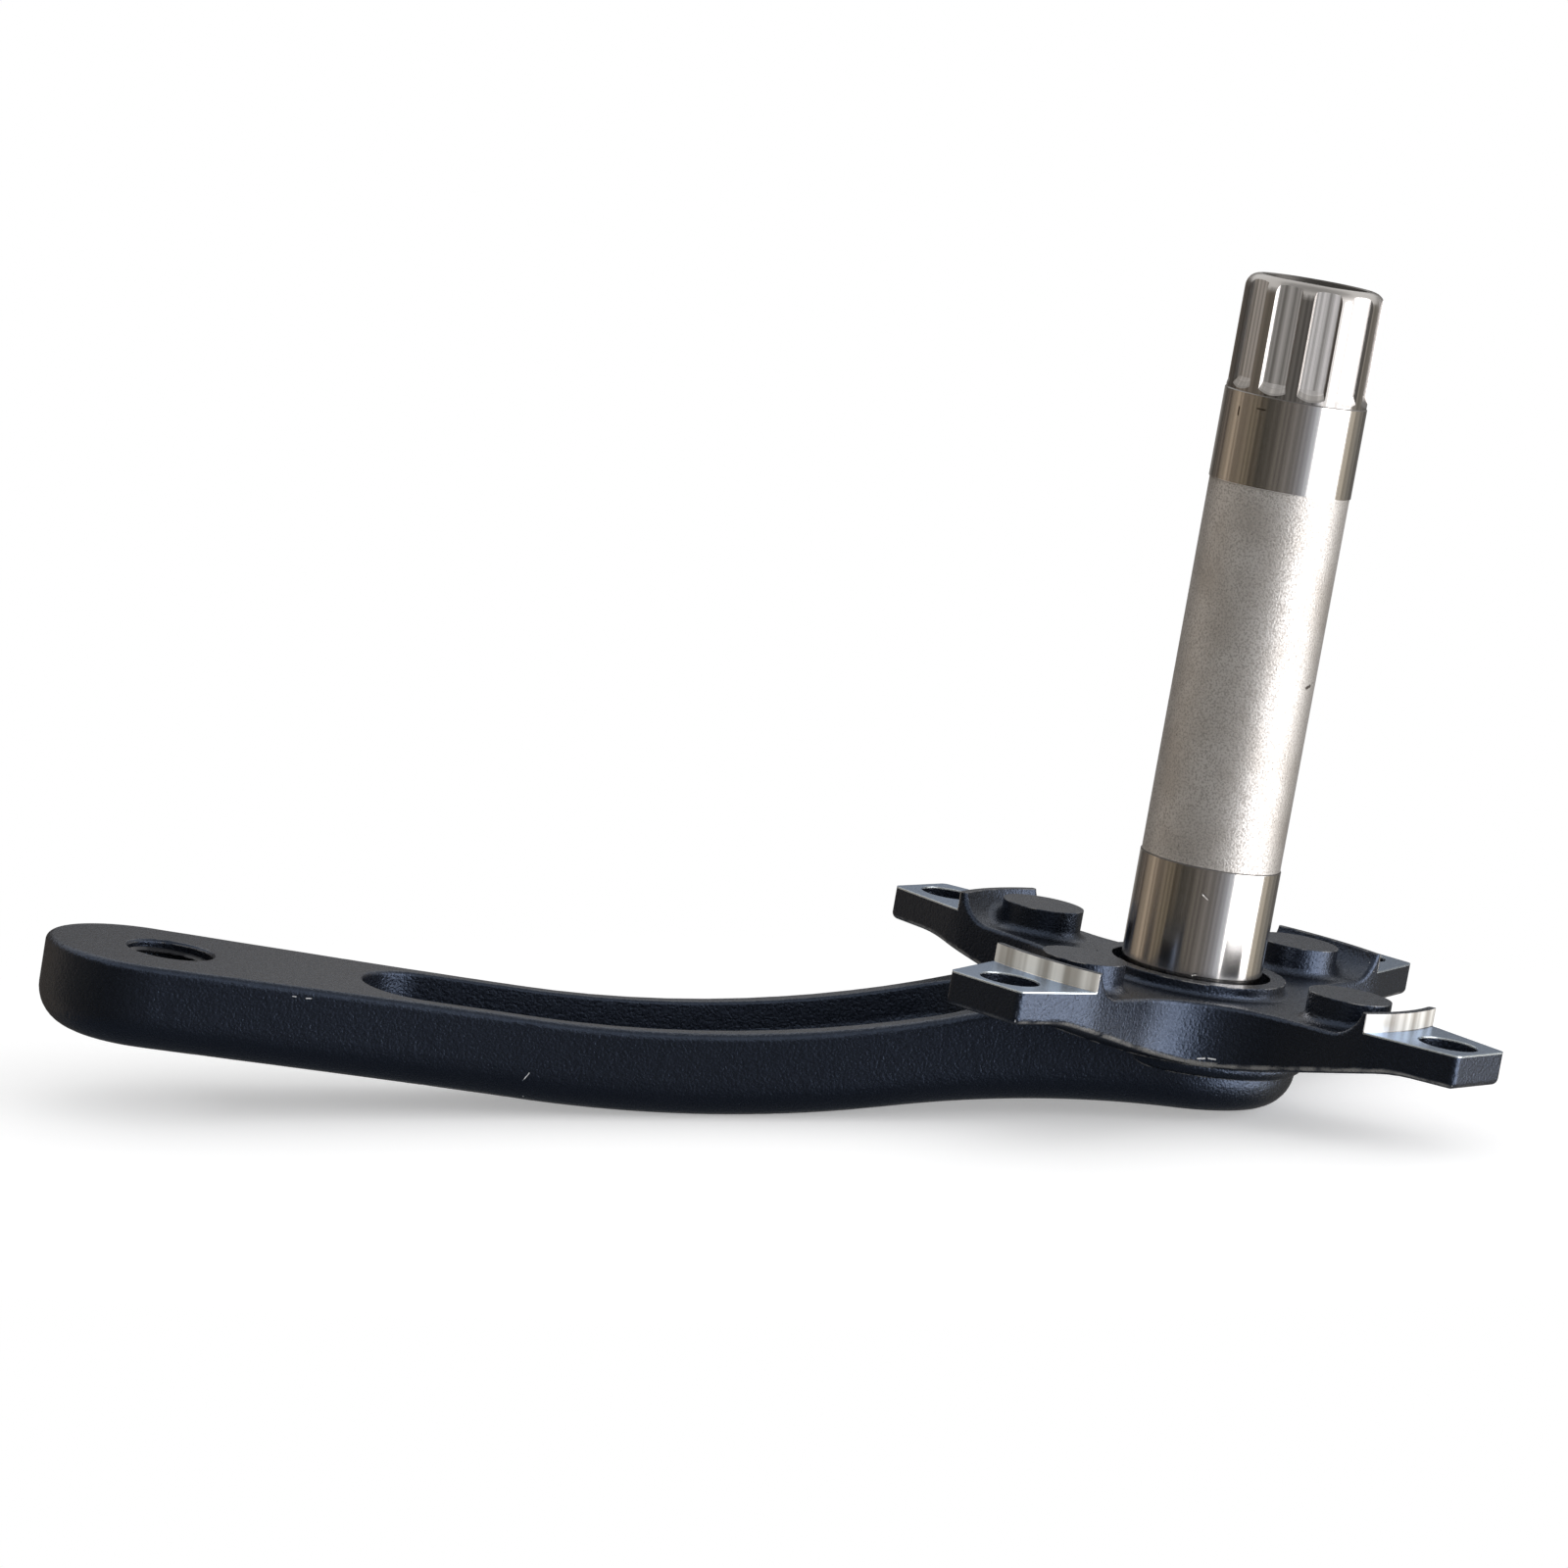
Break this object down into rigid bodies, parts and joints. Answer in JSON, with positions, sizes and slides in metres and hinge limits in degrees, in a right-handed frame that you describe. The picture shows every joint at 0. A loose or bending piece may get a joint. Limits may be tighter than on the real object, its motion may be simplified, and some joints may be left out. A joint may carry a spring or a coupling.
{
  "type": "bicycle crank arm",
  "caption": "Drive-side bicycle crank: black forged aluminium arm with spider, chainring seats, pocketed inner face and pedal thread, and a pressed-in hollow steel spindle with a splined end.",
  "frame": {"origin": "on the spindle axis, in the plane of the chainring seats", "axes": "+Z along the spindle towards the bicycle, -X along the arm to the pedal hole, +Y completes the right-handed set"},
  "size_m": [0.2368, 0.0924, 0.1544],
  "materials": {
    "black_aluminium": "blasted and black anodised, chainring seats machined bare",
    "steel": "blasted middle, ground bearing seats"
  },
  "bodies": {
    "root": {"crank_arm": "black_aluminium", "spindle": "steel"}
  },
  "joints": []
}
